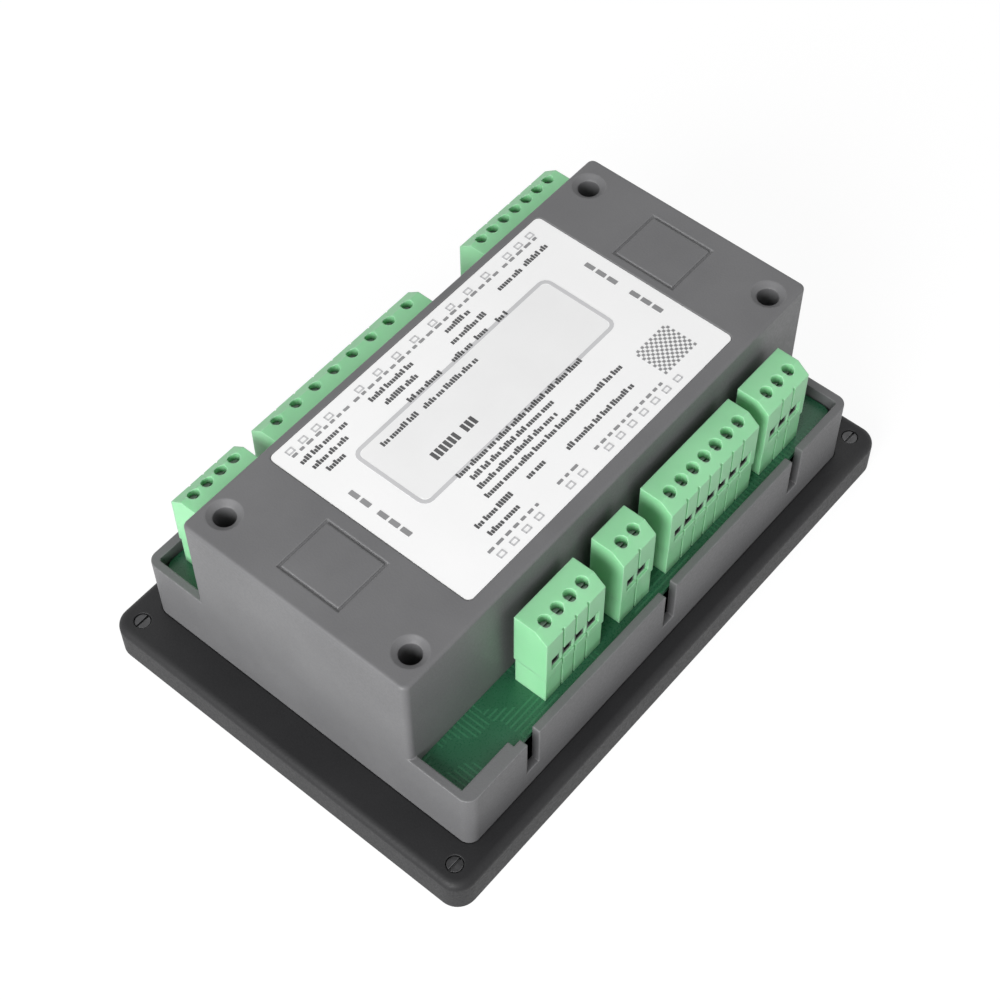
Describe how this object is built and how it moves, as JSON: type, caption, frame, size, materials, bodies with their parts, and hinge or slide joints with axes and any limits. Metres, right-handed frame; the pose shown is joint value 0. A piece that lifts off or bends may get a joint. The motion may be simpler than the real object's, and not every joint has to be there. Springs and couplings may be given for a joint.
{
  "type": "genset controller",
  "caption": "Panel-mounted generator controller: grey stepped rear housing, black front flange, rows of pull-out green screw terminals, display and spring-back keys on the front.",
  "frame": {"origin": "centre of the front rim's plane, which is the plane the controller lies on in the picture", "axes": "+X along the length; +Y across it, towards the terminal side with the wider rows, which is up on the front; +Z from the front rim to the rear face"},
  "size_m": [0.1944, 0.1306, 0.072],
  "materials": {
    "housing_grey": "fine matt texture",
    "label_white": "smooth printed film",
    "bezel_black": "fine matt texture",
    "seal_rubber": "smooth",
    "panel_black": "smooth matt film",
    "lens_clear": "clear",
    "display_grey": "dull display face",
    "board_green": "solder mask",
    "part_black": "moulded",
    "light_clear": "clear moulded",
    "spacer_brass": "turned",
    "steel": "zinc plated",
    "dark_steel": "blackened",
    "relay_blue": "moulded",
    "sleeve_dark": "sleeve",
    "coil_grey": "potted",
    "key_red": "moulded",
    "key_green": "moulded",
    "key_grey": "moulded",
    "terminal_green": "smooth moulded"
  },
  "bodies": {
    "case": {"rear_housing": "housing_grey", "rear_label": "label_white", "front_bezel": "bezel_black", "front_seal": "seal_rubber", "front_panel": "panel_black", "display_lens": "lens_clear", "lcd_module": "display_grey", "display_board": "board_green", "key_switches": "part_black", "indicator_lights": "light_clear", "board_spacers": "spacer_brass", "board_screws": "steel", "board_link": "part_black", "main_board": "board_green", "relays": "relay_blue", "capacitors": "sleeve_dark", "current_transformers": "coil_grey", "processor": "part_black", "case_screws": "steel", "corner_screws": "dark_steel", "contact_pins": "steel", "header_near_1": "terminal_green", "header_near_2": "terminal_green", "header_near_3": "terminal_green", "header_near_4": "terminal_green", "header_far_1": "terminal_green", "header_far_2": "terminal_green", "header_far_3": "terminal_green"},
    "terminal_near_1": {"plug_near_1": "terminal_green", "screws_near_1": "steel", "clamps_near_1": "steel"},
    "terminal_near_2": {"plug_near_2": "terminal_green", "screws_near_2": "steel", "clamps_near_2": "steel"},
    "terminal_near_3": {"plug_near_3": "terminal_green", "screws_near_3": "steel", "clamps_near_3": "steel"},
    "terminal_near_4": {"plug_near_4": "terminal_green", "screws_near_4": "steel", "clamps_near_4": "steel"},
    "terminal_far_1": {"plug_far_1": "terminal_green", "screws_far_1": "steel", "clamps_far_1": "steel"},
    "terminal_far_2": {"plug_far_2": "terminal_green", "screws_far_2": "steel", "clamps_far_2": "steel"},
    "terminal_far_3": {"plug_far_3": "terminal_green", "screws_far_3": "steel", "clamps_far_3": "steel"},
    "stop_key": {"key_stop": "key_red"},
    "manual_key": {"key_manual": "key_grey"},
    "auto_key": {"key_auto": "key_grey"},
    "menu_key": {"key_menu": "key_grey"},
    "start_key": {"key_start": "key_green"},
    "up_key": {"key_up": "key_grey"},
    "down_key": {"key_down": "key_grey"}
  },
  "joints": [
    {"name": "near_1_pull", "type": "slide", "parent": "case", "child": "terminal_near_1", "axis": [0, 0, 1], "range_m": [0, 0.009]},
    {"name": "near_2_pull", "type": "slide", "parent": "case", "child": "terminal_near_2", "axis": [0, 0, 1], "range_m": [0, 0.009]},
    {"name": "near_3_pull", "type": "slide", "parent": "case", "child": "terminal_near_3", "axis": [0, 0, 1], "range_m": [0, 0.009]},
    {"name": "near_4_pull", "type": "slide", "parent": "case", "child": "terminal_near_4", "axis": [0, 0, 1], "range_m": [0, 0.009]},
    {"name": "far_1_pull", "type": "slide", "parent": "case", "child": "terminal_far_1", "axis": [0, 0, 1], "range_m": [0, 0.009]},
    {"name": "far_2_pull", "type": "slide", "parent": "case", "child": "terminal_far_2", "axis": [0, 0, 1], "range_m": [0, 0.009]},
    {"name": "far_3_pull", "type": "slide", "parent": "case", "child": "terminal_far_3", "axis": [0, 0, 1], "range_m": [0, 0.009]},
    {"name": "stop_press", "type": "slide", "parent": "case", "child": "stop_key", "axis": [0, 0, 1], "range_m": [0, 0.0008], "stiffness_N_per_m": 1500},
    {"name": "manual_press", "type": "slide", "parent": "case", "child": "manual_key", "axis": [0, 0, 1], "range_m": [0, 0.0008], "stiffness_N_per_m": 1500},
    {"name": "auto_press", "type": "slide", "parent": "case", "child": "auto_key", "axis": [0, 0, 1], "range_m": [0, 0.0008], "stiffness_N_per_m": 1500},
    {"name": "menu_press", "type": "slide", "parent": "case", "child": "menu_key", "axis": [0, 0, 1], "range_m": [0, 0.0008], "stiffness_N_per_m": 1500},
    {"name": "start_press", "type": "slide", "parent": "case", "child": "start_key", "axis": [0, 0, 1], "range_m": [0, 0.0008], "stiffness_N_per_m": 1500},
    {"name": "up_press", "type": "slide", "parent": "case", "child": "up_key", "axis": [0, 0, 1], "range_m": [0, 0.0008], "stiffness_N_per_m": 1500},
    {"name": "down_press", "type": "slide", "parent": "case", "child": "down_key", "axis": [0, 0, 1], "range_m": [0, 0.0008], "stiffness_N_per_m": 1500}
  ]
}
